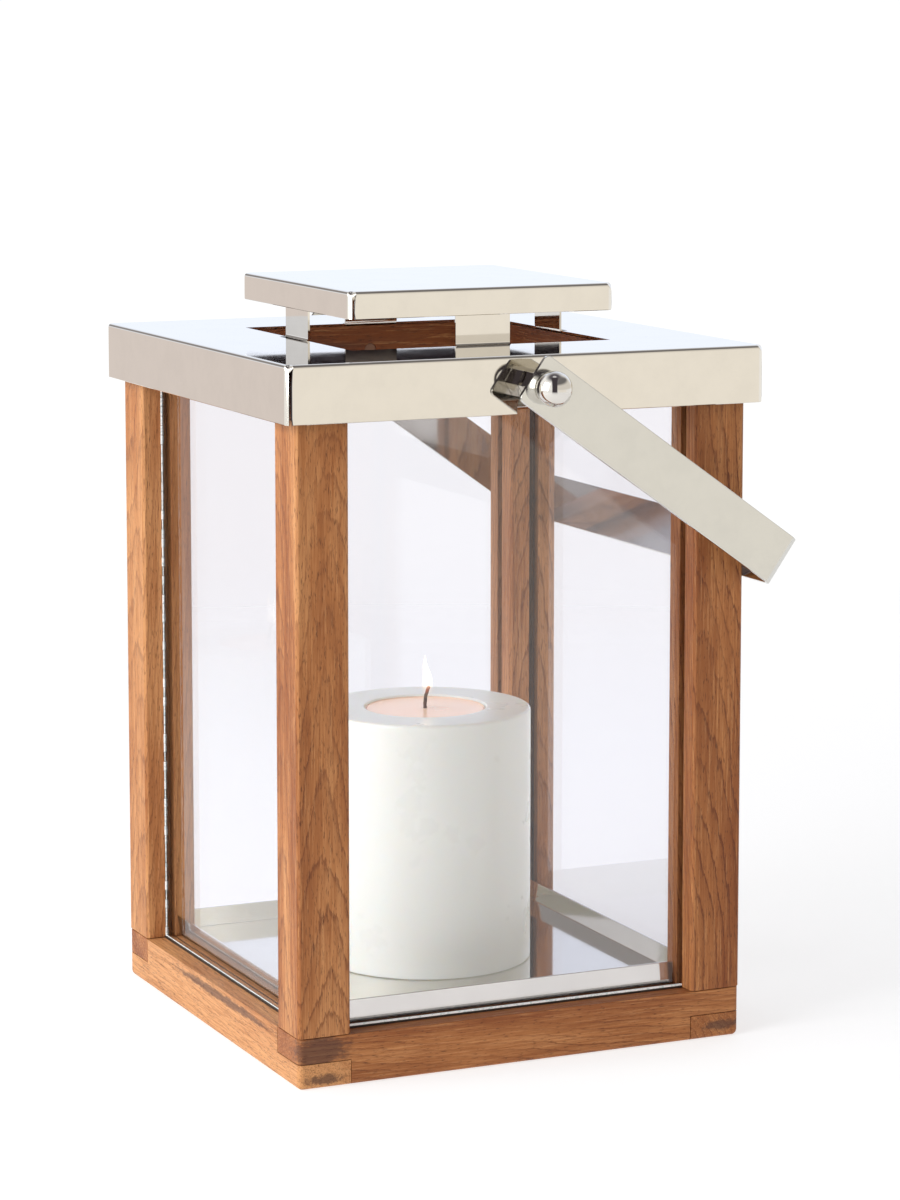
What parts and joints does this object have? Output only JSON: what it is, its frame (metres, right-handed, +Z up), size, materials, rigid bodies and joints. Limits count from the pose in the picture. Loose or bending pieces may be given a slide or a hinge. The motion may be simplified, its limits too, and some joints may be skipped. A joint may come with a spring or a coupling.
{
  "type": "candle lantern",
  "caption": "Square wooden-framed candle lantern with glass sides, a lift-off folded steel lid with a raised chimney cap, a swinging strap handle and a hollow pillar candle on a steel tray.",
  "frame": {"origin": "middle of the wooden frame's footprint, in the plane of the base rails' undersides", "axes": "+Z up; -Y is the front, with one of the two handle pivots; the handle rests against the +X side"},
  "size_m": [0.2424, 0.2928, 0.3478],
  "materials": {
    "teak": "oiled teak with open straight grain",
    "pane": "clear float glass with faintly green edges",
    "sheet_steel": "polished stainless sheet, folded",
    "turned_steel": "polished stainless bar",
    "strap_steel": "finely brushed and polished stainless strap",
    "candle_wax": "smooth white wax",
    "cup_plastic": "clear moulded cup tinted by the wax in it",
    "tealight_wax": "soft warm wax",
    "tin": "stamped sheet",
    "wick_cotton": "braided cotton, charred at the tip"
  },
  "bodies": {
    "frame": {"base_rail_front": "teak", "base_rail_right": "teak", "base_rail_back": "teak", "base_rail_left": "teak", "post_front_left": "teak", "post_front_right": "teak", "post_back_right": "teak", "post_back_left": "teak", "top_rail_front": "teak", "top_rail_right": "teak", "top_rail_back": "teak", "top_rail_left": "teak", "glass_front": "pane", "glass_right": "pane", "glass_back": "pane", "glass_left": "pane", "tray": "sheet_steel", "pivot_plate_front": "turned_steel", "pivot_plate_back": "turned_steel", "pivot_spacer_front": "turned_steel", "pivot_spacer_back": "turned_steel", "pivot_stud_front": "turned_steel", "pivot_stud_back": "turned_steel", "ball_knob_front": "turned_steel", "ball_knob_back": "turned_steel"},
    "lid": {"lid_cover": "sheet_steel", "chimney_cap": "sheet_steel"},
    "handle": {"handle": "strap_steel"},
    "candle": {"candle_shell": "candle_wax"},
    "tealight": {"tealight_cup": "cup_plastic", "tealight_wax": "tealight_wax", "wick_tab": "tin", "wick": "wick_cotton"}
  },
  "joints": [
    {"name": "handle_swing", "type": "hinge", "parent": "frame", "child": "handle", "pos_m": [0, 0, 0.3085], "axis": [0, -1, 0], "range_deg": [0, 250.8]},
    {"name": "lid_lift", "type": "slide", "parent": "frame", "child": "lid", "axis": [0, 0, 1], "range_m": [0, 0.12]},
    {"name": "candle_lift", "type": "slide", "parent": "frame", "child": "candle", "axis": [0, 0, 1], "range_m": [0, 0.15]},
    {"name": "tealight_lift", "type": "slide", "parent": "candle", "child": "tealight", "axis": [0, 0, 1], "range_m": [0, 0.03]}
  ]
}
